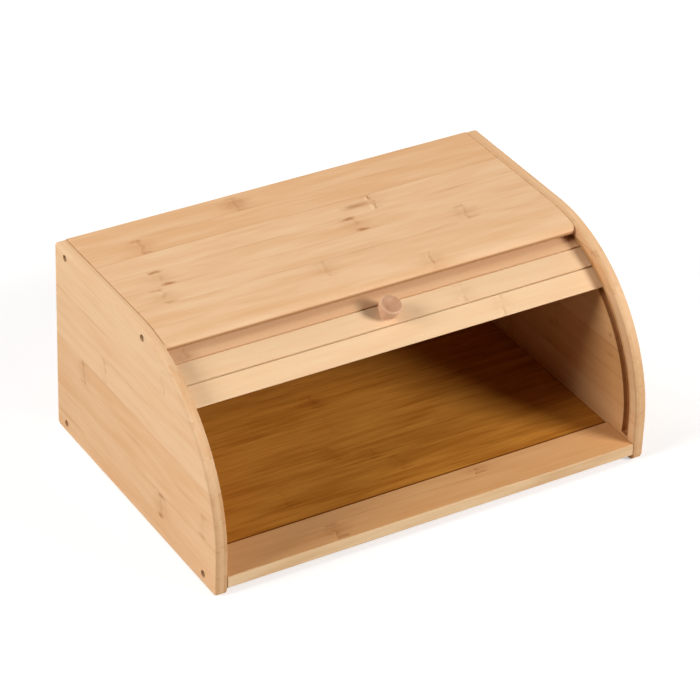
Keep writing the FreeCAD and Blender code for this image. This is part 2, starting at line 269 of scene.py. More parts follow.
STRIP = 23.5 * MM              # width of one bamboo strip
FIBRE_SIZE = (34 * MM, 0.55 * MM)
FIBRE_STRENGTH = 0.50
BAND_SIZE = (60 * MM, 3.4 * MM)
BAND_STRENGTH = 0.85
CLOUD_SIZE = (80 * MM, 11 * MM)
CROOKED_SCALE = 130.0          # how often the knuckles' lines change their course
KNUCKLE_EVERY = 230 * MM
GRAIN_DEPTH = 0.12 * MM
BAMBOO_SHINE = 0.12            # sanded and left bare, so it hardly shines
PALE_BAMBOO = (0.809, 0.532, 0.308)
DEEP_BAMBOO = (0.731, 0.419, 0.210)
KNUCKLE_TINT = (0.62, 0.46, 0.35)
# inner ply tint: partly the ply's own deeper tone, partly painted shade for the box's shaded inside
INNER_PLY_AND_SHADE_TINT = (0.73, 0.61, 0.45)
# painted shade in the door's track
TRACK_SHADE_TINT = (0.72, 0.60, 0.48)
# the lower front rim's tint: partly its end grain, partly painted shade
END_GRAIN_AND_SHADE_TINT = (0.80, 0.76, 0.70)
# painted shadow line
SHADOW_LINE_TINT = (0.48, 0.36, 0.27)


def fade(value, start, end):
    """1 up to start and 0 from end on, with a smooth change between them."""
    return get(value.tree, "ShaderNodeMapRange", {
        "Value": value, "From Min": start, "From Max": end, "To Min": 1.0, "To Max": 0.0,
    }, interpolation_type="SMOOTHSTEP")


def point(tree, x, y=0.0, z=0.0):
    """A point or a direction put together from three values."""
    return get(tree, "ShaderNodeCombineXYZ", {0: x, 1: y, 2: z})


def split(whole, kind="ShaderNodeSeparateXYZ"):
    """The three values of a point, or with another kind of node those of a colour."""
    parted = put(whole.tree, kind, {0: whole})
    return [Value(whole.tree, socket) for socket in parted.outputs]


def span(a, b):
    """The slant of a square corner with the sides a and b."""
    return (a * a + b * b).by("SQRT")


def blend(amount, first, second):
    """The first colour where amount is 0, the second where it is 1."""
    return get(amount.tree, "ShaderNodeMix", {
        "Factor": amount, "A": (*first, 1), "B": (*second, 1)}, "Result", data_type="RGBA")


def tinted(colour, amount, tint):
    """The colour multiplied by the tint, as far as amount says. Below zero it grows lighter."""
    full = get(colour.tree, "ShaderNodeMix", {
        "Factor": 1.0, "A": colour, "B": (*tint, 1),
    }, "Result", data_type="RGBA", blend_type="MULTIPLY")
    return get(colour.tree, "ShaderNodeMix", {
        "Factor": amount, "A": colour, "B": full,
    }, "Result", data_type="RGBA", clamp_factor=False)


def inputs_of(tree):
    """The values that a tree is given, by name."""
    return {socket.name: Value(tree, socket) for socket in put(tree, "NodeGroupInput").outputs}


KNUCKLE_STRAY = 11 * MM        # how far a knuckle's line strays along the grain
KNUCKLE_LEAN = -2.4 * MM       # how far it leans from the strip's middle to its edge
LINE_REACH = 2.6 * MM
LIP_OFF = -2.8 * MM            # the pale lip beside the line
LIP_REACH = 1.8 * MM
DASH_LEAN = 1.5 * MM
DASH_REACH = 8.5 * MM
STAIN_REACH = 19 * MM
KNUCKLE_INPUTS = [
    "Along", "Across", "Grain", "Drift", "Sway", "Middle along", "Middle across", "Half width",
    "Line", "Dashes", "Stain",
]


def knuckle_group():
    """One knuckle across a strip: a leaning line with a pale lip, two dashes and a stain."""
    group = bpy.data.node_groups.new("bamboo knuckle", "ShaderNodeTree")
    for name in KNUCKLE_INPUTS:
        group.interface.new_socket(name, in_out="INPUT", socket_type="NodeSocketFloat")
    group.interface.new_socket("Mark", in_out="OUTPUT", socket_type="NodeSocketFloat")
    given = inputs_of(group)
    u = (given["Drift"] - 0.5) * KNUCKLE_STRAY + (given["Along"] - given["Middle along"])
    v = (given["Across"] - given["Middle across"]) / given["Half width"]
    within = fade(abs(v), 0.88, 1.0)
    v = (given["Sway"] - 0.5) * 0.35 + v

    leaning = v * KNUCKLE_LEAN + u
    line = fade(abs(leaning), 0.1 * MM, LINE_REACH)
    lip = fade(abs(leaning - LIP_OFF), 0.1 * MM, LIP_REACH)
    line = (line - lip * 0.5) * scaled(given["Sway"], 0.1, 0.9, 0.42, 0.56)
    hook = abs(v * DASH_LEAN + u)
    dash = fade(hook, 1.0 * MM, DASH_REACH) * fade(abs(abs(v) - 0.8), 0.0, 0.26)
    stain = fade(abs(u), 0.0, STAIN_REACH) * fade(abs(v), 0.1, 1.0)

    mark = dash * given["Dashes"] + line * given["Line"]
    mark = stain * given["Stain"] + mark
    grainy = (given["Grain"] * 1.2 + 0.4) * within
    put(group, "NodeGroupOutput", {"Mark": mark * grainy})
    return group


KNUCKLE = knuckle_group()

INNER_LEAST = 0.65             # how far the palest strip of the inner ply takes its tint
INNER_MORE = 0.7               # what luck adds to that
RIM_SHADE_LIFT = 0.72              # how much of the inner tint and its painted shade is taken off near the lit rim
RIM_TINT_DEEP = 2.4 * MM
RIM_TINT_LONG = 42 * MM


def panel_tints(colour, place, off_middle, luck):
    """A panel's tints: its inner ply darker, partly the ply's own tone and partly painted shade for
    the box's shaded inside, mostly lifted near the lit rim; painted shade in its track; and its
    lower front rim darker, partly from end grain and partly from painted shade.
    """
    from_back = (FRONT + PANEL_SWEEP - place[1]).by("MAXIMUM", 0.0)
    above = (place[2] - (TALL - PANEL_SWEEP)).by("MAXIMUM", 0.0)
    from_rim = PANEL_SWEEP - span(from_back, above)
    ahead_of_track = PANEL_SWEEP - TRACK_OUTER
    near_rim = fade(from_rim, ahead_of_track - 0.8 * MM, ahead_of_track)
    # painted shade inside the box, with the inner ply's own tone, taken mostly off near the lit rim
    inner = fade(off_middle, PLIES[0] - 0.4 * MM, PLIES[0] + 0.4 * MM)
    inner = inner * (luck * INNER_MORE + INNER_LEAST) * (1.0 - near_rim * RIM_SHADE_LIFT)
    colour = tinted(colour, inner, INNER_PLY_AND_SHADE_TINT)

    # painted shade on the walls and floor of the door's track
    radius = span(place[1] - TRACK_CENTRE.y, place[2] - TRACK_CENTRE.z)
    routed = fade(abs(radius - (TRACK_INNER + TRACK_OUTER) / 2), 4.2 * MM, 4.5 * MM)
    sunk = abs(off_middle - (INNER_X + TRACK_DEEP / 2 + 0.4 * MM))
    sunk = sunk.by("LESS_THAN", TRACK_DEEP / 2 + 0.2 * MM)
    inside = place[1].by("LESS_THAN", BACK - 15 * MM)
    colour = tinted(colour, routed * sunk * inside, TRACK_SHADE_TINT)

    # the lower front rim darker: partly its end grain, partly painted shade
    end_grain_and_shade = fade(from_rim, 0.3 * MM, RIM_TINT_DEEP) * fade(place[1], FRONT, FRONT + RIM_TINT_LONG)
    return tinted(colour, end_grain_and_shade, END_GRAIN_AND_SHADE_TINT)


def bamboo(
    name, along, across, depth, first, seed, pale=PALE_BAMBOO, deep=DEEP_BAMBOO, strip=STRIP,
    knuckles=(), hidden_knuckles=0.0, panel=False, painted_shade_at_ends=False, painted_shadow_line=None, painted_band=None,
    tone=0.5, streaky=1.0, cloudy=1.35, uneven=0.42, joints=0.34, seam_shade=None, wound=False,
    rough=0.62,
):
    """Laminated bamboo. Along, across and depth are the axes of the grain, of the row of strips
    and of the board's thickness, first is where a joint between two strips lies, and seed picks
    how light or dark each strip falls. Each knuckle is its place along and across, its strip's
    half width, and the strengths of its line, dashes and stain; hidden knuckles are the strength
    of those that come at random. A panel has plies and its own tints, partly painted shade.
    Painted shade at ends darkens boards where they end at the panels, painted shadow line is a
    place across the grain with the reach of its full and its fading darkness, and painted band an
    axis, a place on it and the tint below that place, used for painted shade and painted light.
    Tone is how deep the colour is, streaky, cloudy and uneven how far fibres, patches and whole
    strips differ, joints how dark the lines between strips are, seam shade a tint of painted shade
    for open joints, and rough how dull the skin is. Wound takes the across axis round the door's
    track."""
    made, tree, spot = new_material(name)
    place = split(spot)
    a, c, d = place[along], place[across], place[depth]
    if wound:
        forward = TRACK_CENTRE.y - place[1]
        rise = place[2] - TRACK_CENTRE.z
        c = rise.by("ARCTAN2", forward) * TRACK_OUTER
        d = span(forward, rise)
    layer = 0.0
    off_middle = abs(d)
    if panel:
        layer = off_middle.by("GREATER_THAN", PLIES[0]) + off_middle.by("GREATER_THAN", PLIES[1])
        c = c - layer.by("MODULO", 2.0) * PLY_SHIFT
    position = (c - first) / strip
    within = position.by("FRACT")
    chance = get(tree, "ShaderNodeTexWhiteNoise", {
        "Vector": point(tree, position.by("FLOOR"), layer, seed),
    }, "Color", noise_dimensions="3D")
    chances = split(chance, "ShaderNodeSeparateColor")

    def streaks(size, detail):
        """Noise drawn out along the grain to that length and width, different in each strip."""
        length, width = size
        drawn_out = point(tree, chances[0] * 3.7 + a / length, c / width, d / width)
        return noise(drawn_out, 1.0, detail, Roughness=0.6)

    fibre = streaks(FIBRE_SIZE, 2.0)
    band = streaks(BAND_SIZE, 3.0)
    cloud = streaks(CLOUD_SIZE, 2.0)
    crooked = get(tree, "ShaderNodeTexNoise", {
        "Vector": point(tree, a, c, seed), "Scale": CROOKED_SCALE, "Detail": 2.0}, "Color")
    drift, sway = split(crooked, "ShaderNodeSeparateColor")[:2]

    shade = (fibre - 0.5) * (FIBRE_STRENGTH * streaky) + tone
    shade = (band - 0.5) * (BAND_STRENGTH * streaky) + shade
    shade = (cloud - 0.5) * cloudy + shade
    shade = ((chances[1] - 0.5) * uneven).by("ADD", shade, clamp=True)
    colour = blend(shade, pale, deep)
    if panel:
        colour = panel_tints(colour, place, off_middle, chances[2])
    # a tinted band below a place: painted shade under the top board's nose, painted light on the sill's
    # face
    if painted_band:
        axis, edge, tint = painted_band
        colour = tinted(colour, fade(place[axis], edge - 0.8 * MM, edge + 0.8 * MM), tint)
    # a painted shadow: a dark line along a place across the grain
    if painted_shadow_line:
        where, full, gone = painted_shadow_line
        colour = tinted(colour, fade(abs(c - where), full, gone), SHADOW_LINE_TINT)
    to_joint = within.by("MINIMUM", 1.0 - within) * strip
    # painted shade at open joints, such as the seams between slats
    if seam_shade:
        colour = tinted(colour, fade(to_joint, 0.30 * MM, 0.50 * MM), seam_shade)

    def knuckle(seen_along, seen_across, *chosen):
        """How strong the mark of one knuckle is."""
        inputs = dict(zip(KNUCKLE_INPUTS, (seen_along, seen_across, band, drift, sway, *chosen)))
        return get(tree, "ShaderNodeGroup", inputs, node_tree=KNUCKLE)

    mark = fade(to_joint, 0.1 * MM, 1.6 * MM) * scaled(cloud, 0.0, joints, 0.46, 0.66)
    for chosen in knuckles:
        mark = mark + knuckle(a, c, *chosen)
    if hidden_knuckles:
        turned = (a / KNUCKLE_EVERY + chances[2]).by("FRACT") * KNUCKLE_EVERY
        mark = mark + knuckle(
            turned, within * strip, KNUCKLE_EVERY / 2, strip / 2, strip / 2,
            hidden_knuckles, hidden_knuckles, hidden_knuckles / 3)
    # painted shade in the crease where a board ends at a panel
    if painted_shade_at_ends:
        mark = fade(INNER_X - abs(a), 0.1 * MM, 1.1 * MM) * 0.75 + mark
    mark = mark.by("MINIMUM", 1.0)
    colour = tinted(colour, mark, KNUCKLE_TINT)

    bump = get(tree, "ShaderNodeBump", {
        "Strength": 0.18, "Distance": GRAIN_DEPTH, "Height": mark * -0.6 + fibre})
    surface(get(tree, "ShaderNodeBsdfPrincipled", {
        "Base Color": colour, "Roughness": scaled(fibre, rough - 0.07, rough + 0.10),
        "Normal": bump, "Specular IOR Level": BAMBOO_SHINE}))
    return made


def in_place(along, across, rows):
    """Knuckles for bamboo() from rows in millimetres, their places counted from these two."""
    return [(along + a * MM, across + c * MM, half * MM, *rest) for a, c, half, *rest in rows]


def arc_points(centre, radius, start, end, steps):
    """Points round a circle in the YZ plane, the angles in degrees from +Y towards +Z."""
    angles = [math.radians(start + (end - start) * k / steps) for k in range(steps + 1)]
    return [(centre[0] + radius * math.cos(t), centre[1] + radius * math.sin(t)) for t in angles]


def panel_outline(inset):
    """The panel's outline drawn in by inset: over the front, down the back, along the foot."""
    sweep_centre = (FRONT + PANEL_SWEEP, TALL - PANEL_SWEEP)
    points = arc_points(sweep_centre, PANEL_SWEEP - inset, 180, 90, SWEEP_STEPS)
    points += arc_points((BACK - PANEL_HEEL, TALL - PANEL_HEEL), PANEL_HEEL - inset, 90, 0, 8)
    points += arc_points((BACK - PANEL_FOOT, PANEL_FOOT), PANEL_FOOT - inset, 0, -90, 8)
    points += arc_points((FRONT + PANEL_FOOT, PANEL_FOOT), PANEL_FOOT - inset, -90, -180, 8)
    return points


def skin(points, closed=True):
    """A mesh with faces between each row of points and the next, and its rows of corners. The
    rows are as long as each other, and closed ones go round."""
    shell = bmesh.new()
    rows = [[shell.verts.new(p) for p in row] for row in points]
    for low, high in zip(rows, rows[1:]):
        for k in range(len(low) if closed else len(low) - 1):
            n = (k + 1) % len(low)
            shell.faces.new((low[k], low[n], high[n], high[k]))
    return shell, rows


def loft(rings):
    """A closed mesh through rings of points, capped at both ends."""
    shell, rows = skin(rings)
    shell.faces.new(rows[0])
    shell.faces.new(rows[-1])
    return shell


def as_object(name, shell):
    """An object in the scene for a mesh under construction, which is used up."""
    bmesh.ops.recalc_face_normals(shell, faces=shell.faces)
    mesh = bpy.data.meshes.new(name)
    shell.to_mesh(mesh)
    shell.free()
    made = bpy.data.objects.new(name, mesh)
    bpy.context.scene.collection.objects.link(made)
    return made


def settle(piece):
    """The piece's mesh takes in its modifiers, which are then removed."""
    finished = piece.evaluated_get(bpy.context.evaluated_depsgraph_get())
    mesh = bpy.data.meshes.new_from_object(finished)
    piece.modifiers.clear()
    old = piece.data
    piece.data = mesh
    bpy.data.meshes.remove(old)
    mesh.name = piece.name


def carve(piece, others, operation="DIFFERENCE"):
    """The piece with each of the others taken out of it, or with UNION joined to it."""
    for other in others:
        step = piece.modifiers.new("carve", "BOOLEAN")
        step.operation = operation
        step.solver = "MANIFOLD"
        step.object = other
    settle(piece)
    for other in others:
        bpy.data.objects.remove(other)


SHARP_FROM = math.radians(38)


def dress(piece, material, body, slot, *nodes):
    """The finished piece: its material, soft normals over its rounds, and the parts it is."""
    piece.data.materials.clear()
    piece.data.materials.append(material)
    piece.data.shade_smooth()
    piece.data.set_sharp_from_angle(angle=SHARP_FROM)
    faired = piece.modifiers.new("fair the rounds", "WEIGHTED_NORMAL")
    faired.keep_sharp = True
    settle(piece)
    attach(piece, body)
    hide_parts(*nodes)


def block(name, low, high):
    """A rectangular object between two corners."""
    shell = bmesh.new()
    middle = (Vector(low) + Vector(high)) / 2
    size = Vector(high) - Vector(low)
    spread = Matrix.Translation(middle) @ Matrix.Diagonal((*size, 1))
    bmesh.ops.create_cube(shell, size=1.0, matrix=spread)
    return as_object(name, shell)


def bar(name, outline, x0, x1):
    """A bar along X with that YZ outline, between two places."""
    return as_object(name, loft([[(x, y, z) for y, z in outline] for x in (x0, x1)]))


def on_track(radius, turn):
    """The YZ place round the track's centre, the turn counted from the front upwards."""
    return TRACK_CENTRE.y - radius * math.cos(turn), TRACK_CENTRE.z + radius * math.sin(turn)


def track_cutter(x0, x1):
    """The space of the door's track, a band round the track's centre."""
    step = (TRACK_TO - TRACK_FROM) / TRACK_STEPS
    turns = [TRACK_FROM + step * k for k in range(TRACK_STEPS + 1)]
    outline = [on_track(TRACK_OUTER, turn) for turn in turns]
    outline += [on_track(TRACK_INNER, turn) for turn in reversed(turns)]
    return bar("track cutter", outline, x0, x1)


SHEET_PLAY = 0.1 * MM
SHEET_ENTRY = 4.2 * MM
floor_low, floor_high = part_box("floor_panel")
back_low, back_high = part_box("back_panel")
back_from = back_low.y - SHEET_PLAY
back_to = back_high.y + SHEET_PLAY


def side_panel(name, side):
    """A side panel: side is -1 for the left one and 1 for the right one."""
    turns = [math.pi / 2 * k / ROUND_STEPS for k in range(ROUND_STEPS + 1)]

    def rounded(face, radius, inwards):
        """Rings from a face of the board round its arris, inwards being the way into the wood."""
        return [[
            (side * (face + inwards * radius * (1 - math.cos(turn))), y, z)
            for y, z in panel_outline(radius * (1 - math.sin(turn)))
        ] for turn in turns]

    inner_rings = rounded(INNER_X, INNER_ROUND, 1)
    panel = as_object(name, loft(rounded(OUTER_X, OUTER_ROUND, -1) + inner_rings[::-1]))

    def sheet_space(low, high):
        """The groove for one sheet, from inside the box into the panel."""
        x_ends = sorted((side * (INNER_X - 2 * MM), side * (INNER_X + SHEET_ENTRY)))
        return block("sheet groove", (x_ends[0], low.y, low.z), (x_ends[1], high.y, high.z))

    play = Vector((0, SHEET_PLAY, SHEET_PLAY))
    cutters = [track_cutter(*sorted((side * (INNER_X - 2 * MM), side * (INNER_X + TRACK_DEEP))))]
    cutters.append(sheet_space(floor_low - play, floor_high + play))
    cutters.append(sheet_space(back_low - play, back_high + play))
    for y, z in SCREW_SPOTS:
        x_ends = sorted((side * (OUTER_X + 2 * MM), side * (OUTER_X - SCREW_HOLE_DEEP)))
        edge = arc_points((y, z), SCREW_HOLE, 0, 360 - 360 / HOLE_SIDES, HOLE_SIDES - 1)
        cutters.append(bar("screw hole", edge, *x_ends))
    carve(panel, cutters)
    return panel


left_knuckles = in_place(FRONT, 0.0, [
    (222, 78, 11.7, 0.45, 0.35, 0.20),
    (90, 30.5, 11.7, 0.45, 0.90, 0.25),
    (88, 148, 11.7, 0.25, 0.15, 0.08),
    (22, 54, 11.7, 0.30, 0.40, 0.12),
    (185, 101, 11.7, 0.35, 0.20, 0.10),
])
right_knuckles = in_place(FRONT, 0.0, [(42, 89, 11.7, 0.5, 0.3, 0.15)])
left_bamboo = bamboo(
    "bamboo left side", 1, 2, 0, PANEL_JOINT, knuckles=left_knuckles, panel=True,
    tone=0.43, cloudy=1.7, uneven=0.9, seed=66.0)
right_bamboo = bamboo(
    "bamboo right side", 1, 2, 0, PANEL_JOINT, knuckles=right_knuckles, hidden_knuckles=0.25,
    panel=True, seed=5.0)

dress(side_panel("side_panel_left", -1), left_bamboo, "case", "side_bamboo", "left_side_panel")
dress(side_panel("side_panel_right", 1), right_bamboo, "case", "side_bamboo", "right_side_panel")


# ------------------------------------------------------------------ top board
# A thick bamboo board between the panels, grain side to side. Its front follows the
# panels' quarter round and ends in a rounded nose over the door.

TOP_DROP = 0.5 * MM
TOP_THICK = 11 * MM
TOP_NOSE = 8 * MM
TOP_LIP = 1 * MM
TOP_FRONT = FRONT + 103.3 * MM
BOARD_EASE = 0.45 * MM
EASE_FROM = math.radians(50)   # the least bend that is eased
# painted shade on the lower part of the nose
UNDER_NOSE_SHADE_TINT = (0.52, 0.41, 0.30)


def eased(piece, width, segments):
    """The piece with its sharp arrises rounded off by that width."""
    ease = piece.modifiers.new("ease", "BEVEL")
    ease.width = width
    ease.segments = segments
    ease.limit_method = "ANGLE"
    ease.angle_limit = EASE_FROM
    settle(piece)
    return piece


def run_of(name, outline):
    """Stock with that YZ outline, cut to fit between the panels, its arrises eased."""
    return eased(bar(name, outline, -INNER_X, INNER_X), BOARD_EASE, 3)


def top_outline():
    """Flat back, rounded front and nose, and the groove for the back sheet under it."""
    top = TALL - TOP_DROP
    under = top - TOP_THICK
    sweep = PANEL_SWEEP - TOP_DROP
    centre_y = FRONT + PANEL_SWEEP
    centre_z = TALL - PANEL_SWEEP
    lean = 90 + math.degrees(math.asin((centre_y - TOP_NOSE - TOP_FRONT) / (sweep - TOP_NOSE)))
    nose_y = centre_y + (sweep - TOP_NOSE) * math.cos(math.radians(lean))
    nose_z = centre_z + (sweep - TOP_NOSE) * math.sin(math.radians(lean))
    nose_end = 180 - math.degrees(math.asin((under + TOP_LIP - nose_z) / TOP_NOSE))
    lip_y = nose_y + TOP_NOSE * math.cos(math.radians(nose_end)) + TOP_LIP
    points = [(BACK, top)]
    points += arc_points((centre_y, centre_z), sweep, 90, lean, 16)
    points += arc_points((nose_y, nose_z), TOP_NOSE, lean, nose_end, 24)[1:]
    points += arc_points((lip_y, under + TOP_LIP), TOP_LIP, 180, 270, 6)[1:]
    roof = back_high.z + 2 * SHEET_PLAY
    points += [(back_from, under), (back_from, roof), (back_to, roof), (back_to, under)]
    return points + [(BACK, under)]


top_knuckles = in_place(0.0, FRONT, [
    (57, 113, 10.5, 0.35, 0.15, 0.20),
    (-28, 136, 12.2, 0.25, 0.15, 0.22),
    (-161, 159.5, 12.2, 0.25, 0.45, 0.20),
    (118, 160, 12.2, 0.25, 0.40, 0.25),
    (-150, 184, 12.5, 0.22, 1.00, 0.18),
    (28, 184, 12.5, 0.20, 1.00, 0.25),
    (58, 209, 12.5, 0.90, 0.20, 0.15),
    (42, 209, 5.5, 0.0, 0.0, 0.75),
    (-142, 233, 12.3, 0.25, 0.50, 0.22),
    (-43, 257, 12.3, 0.15, 0.25, 0.55),
])
# the nose is darker below a line near its lower edge: painted shade
top_bamboo = bamboo(
    "bamboo top board", 0, 1, 2, FRONT + 147.5 * MM, strip=24.5 * MM, knuckles=top_knuckles,
    painted_shade_at_ends=True, painted_band=(2, TALL - TOP_DROP - 8.6 * MM, UNDER_NOSE_SHADE_TINT), tone=0.655,
    streaky=0.75, cloudy=2.0, uneven=0.8, seed=198.0)
board = run_of("board_top", top_outline())
dress(board, top_bamboo, "case", "board_bamboo", "top_board")


# ------------------------------------------------------------------ front sill and rear rail
# Two lengths of one bamboo stock that tie the panels together near the table. Both are
# grooved on the inside for the floor sheet, and the rear one on top for the back sheet.

RAIL_EASE = 1.2 * MM
sill_low, sill_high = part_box("front_sill")
rail_low, rail_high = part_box("rear_rail")
groove_low = floor_low.z - SHEET_PLAY
groove_high = floor_high.z + SHEET_PLAY
floor_front = floor_low.y - 2 * SHEET_PLAY
floor_back = floor_high.y + 2 * SHEET_PLAY

sill_outline = arc_points((sill_low.y + RAIL_EASE, sill_low.z + RAIL_EASE), RAIL_EASE, 270, 180, 6)
sill_outline += arc_points((sill_low.y + RAIL_EASE, sill_high.z - RAIL_EASE), RAIL_EASE, 180, 90, 6)
sill_outline += [
    (sill_high.y, sill_high.z), (sill_high.y, groove_high), (floor_front, groove_high),
    (floor_front, groove_low), (sill_high.y, groove_low), (sill_high.y, sill_low.z),
]
back_foot = back_low.z - 2 * SHEET_PLAY
rail_outline = [
    (rail_low.y, rail_low.z), (rail_low.y, groove_low), (floor_back, groove_low),
    (floor_back, groove_high), (rail_low.y, groove_high), (rail_low.y, rail_high.z),
    (back_from, rail_high.z), (back_from, back_foot), (back_to, back_foot),
    (back_to, rail_high.z), (rail_high.y, rail_high.z), (rail_high.y, rail_low.z),
]
SILL_PALE = (0.802, 0.456, 0.203)
SILL_DEEP = (0.692, 0.330, 0.122)
# painted light: the sill's front face lighter and less orange than its top
SILL_FACE_LIGHT_TINT = (0.98, 1.27, 1.74)
sill_knuckles = in_place(0.0, FRONT, [
    (-85, 13, 11, 0.5, 0.6, 0.35),
    (57, 33, 8, 0.5, 0.5, 0.30),
])
sill_bamboo = bamboo(
    "bamboo front sill", 0, 1, 2, FRONT + 24 * MM, pale=SILL_PALE, deep=SILL_DEEP,
    knuckles=sill_knuckles, painted_shade_at_ends=True, painted_band=(1, FRONT + 1.0 * MM, SILL_FACE_LIGHT_TINT),
    cloudy=0.9, uneven=0.16, seed=7.0)
rail_bamboo = bamboo(
    "bamboo rear rail", 0, 1, 2, FRONT + 24 * MM, pale=SILL_PALE, deep=SILL_DEEP,
    hidden_knuckles=0.5, seed=8.0)
dress(run_of("sill_front", sill_outline), sill_bamboo, "case", "rail_bamboo", "front_sill")
dress(run_of("rail_rear", rail_outline), rail_bamboo, "case", "rail_bamboo", "rear_rail")


# ------------------------------------------------------------------ floor and back sheets
# Thin sheets of darker, carbonised bamboo with fine streaks, slid into the grooves of
# the panels, the rails and the top board. They are held by the grooves alone.

SHEET_EASE = 0.3 * MM
AMBER_PALE = (0.645, 0.271, 0.0420)
AMBER_DEEP = (0.405, 0.134, 0.0130)
floor_knuckles = in_place(0.0, FRONT, [
    (-10, 180, 11, 0.25, 0.35, 0.45),
    (10, 72, 11.5, 0.25, 0.40, 0.45),
    (-35, 107, 11, 0.20, 0.35, 0.40),
    (-5, 93, 8, 0.20, 0.35, 0.40),
])


# the floor sheet has a painted shadow along the sill, where the floor lies lower than the sill
floor_bamboo = bamboo(
    "bamboo floor sheet", 0, 1, 2, FRONT + 60 * MM, pale=AMBER_PALE, deep=AMBER_DEEP,
    knuckles=floor_knuckles, hidden_knuckles=0.12, painted_shade_at_ends=True,
    painted_shadow_line=(sill_high.y, 2.9 * MM, 4.2 * MM), streaky=1.7, uneven=0.16, seed=4.0, rough=0.52)
back_bamboo = bamboo(
    "bamboo back sheet", 0, 2, 1, 20 * MM, pale=AMBER_PALE, deep=AMBER_DEEP,
    hidden_knuckles=0.28, seed=9.0)
floor_sheet = eased(block("sheet_floor", floor_low, floor_high), SHEET_EASE, 2)
back_sheet = eased(block("sheet_back", back_low, back_high), SHEET_EASE, 2)
dress(floor_sheet, floor_bamboo, "case", "sheet_bamboo", "floor_panel")
dress(back_sheet, back_bamboo, "case", "sheet_bamboo", "back_panel")


# ------------------------------------------------------------------ tambour slats
# Ten flat bamboo slats side by side round the track. Their ends are left square and run
# in the two tracks. The first slat's lower edge is rounded more and undercut, for the fingers.

SLATS = 10
SLAT_PITCH = math.radians(9)
DOOR_EDGE = math.radians(52)
SLAT_FACE = 131.2 * MM
SLAT_BACK = 124.5 * MM
SLAT_FACE_WIDE = 20.42 * MM
SLAT_BACK_WIDE = 19.2 * MM
SLAT_EASE = 0.16 * MM
LEADING_EASE = 1.0 * MM
UNDERCUT = 2.8 * MM
SLAT_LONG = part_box("slat_01")[1].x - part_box("slat_01")[0].x


def tree_for(name, values):
    """A Geometry Nodes tree with an input for each of the values, and what it is given."""
    made = bpy.data.node_groups.new(name, "GeometryNodeTree")
    made.interface.new_socket("Geometry", in_out="INPUT", socket_type="NodeSocketGeometry")
    made.interface.new_socket("Geometry", in_out="OUTPUT", socket_type="NodeSocketGeometry")
    for label, value in values.items():
        kind = "NodeSocket" + type(value).__name__.capitalize()
        made.interface.new_socket(label, in_out="INPUT", socket_type=kind)
    return made, inputs_of(made)


def made_real(copies, material):
    """Ends a tree: its copies become plain mesh in their material."""
    tree = copies.tree
    whole = get(tree, "GeometryNodeRealizeInstances", {"Geometry": copies})
    coloured = get(tree, "GeometryNodeSetMaterial", {"Geometry": whole, "Material": material})
    put(tree, "NodeGroupOutput", {0: coloured})


def grown(name, tree, values, start=None):
    """A plain mesh object that the tree makes from the values of its named inputs."""
    made = bpy.data.objects.new(name, start or bpy.data.meshes.new(name))
    bpy.context.scene.collection.objects.link(made)
    growth = made.modifiers.new("grow", "NODES")
    growth.node_group = tree
    for item in tree.interface.items_tree:
        if item.in_out == "INPUT" and item.name in values:
            growth[item.identifier] = values[item.name]
    settle(made)
    return made


def slat_tree(values):
    """Slats as drawn-out profiles, set side by side round a centre."""
    tree, given = tree_for("row of slats", values)
    thick = given["Face radius"] - given["Back radius"]
    middle = (given["Face radius"] + given["Back radius"]) * 0.5
    half_length = given["Length"] * 0.5
    run = get(tree, "GeometryNodeCurvePrimitiveLine", {
        "Start": point(tree, half_length * -1.0), "End": point(tree, half_length)})
    section = get(tree, "GeometryNodeCurvePrimitiveQuadrilateral", {
        "Height": thick, "Bottom Width": given["Back width"], "Top Width": given["Face width"],
        "Offset": 0.0,
    }, mode="TRAPEZOID")
    index = get(tree, "GeometryNodeInputIndex")
    leading_corner = index.by("COMPARE", 3.0, 0.1)
    leading_ease = leading_corner * (given["Leading ease"] - given["Ease"]) + given["Ease"]

    def drawn_slat(ease, undercut):
        """One slat along X, face up, its corners eased and its leading edge cut back below."""
        cut_back = get(tree, "GeometryNodeSetPosition", {
            "Geometry": section, "Selection": index.by("COMPARE", 0.0, 0.1),
            "Offset": point(tree, undercut * -1.0)})
        eased = get(tree, "GeometryNodeFilletCurve", {
            "Curve": cut_back, "Count": 5, "Radius": ease}, mode="POLY")
        return get(tree, "GeometryNodeCurveToMesh", {
            "Curve": run, "Profile Curve": eased, "Fill Caps": True})

    turn = (index + 0.5) * given["Pitch"] + given["Door edge"]
    forward = turn.by("COSINE") * (middle * -1.0)
    spot = get(tree, "ShaderNodeVectorMath", {
        0: given["Centre"], 1: point(tree, 0.0, forward, turn.by("SINE") * middle),
    }, operation="ADD")
    spots = get(tree, "GeometryNodePoints", {"Count": given["Count"], "Position": spot})
    leaning = get(tree, "FunctionNodeAxisAngleToRotation", {
        "Axis": (1, 0, 0), "Angle": math.pi / 2 - turn})
    first = index.by("LESS_THAN", 0.5)
    parts = put(tree, "GeometryNodeJoinGeometry")
    for chosen, ease, undercut in (
        (first, leading_ease, given["Undercut"]), (1.0 - first, given["Ease"], 0.0),
    ):
        placed = get(tree, "GeometryNodeInstanceOnPoints", {
            "Points": spots, "Selection": chosen, "Instance": drawn_slat(ease, undercut),
            "Rotation": leaning})
        tree.links.new(placed.socket, parts.inputs[0])
    made_real(Value(tree, parts.outputs[0]), given["Material"])
    return tree


SLAT_PALE = (0.857, 0.600, 0.358)
SLAT_DEEP = (0.770, 0.426, 0.213)
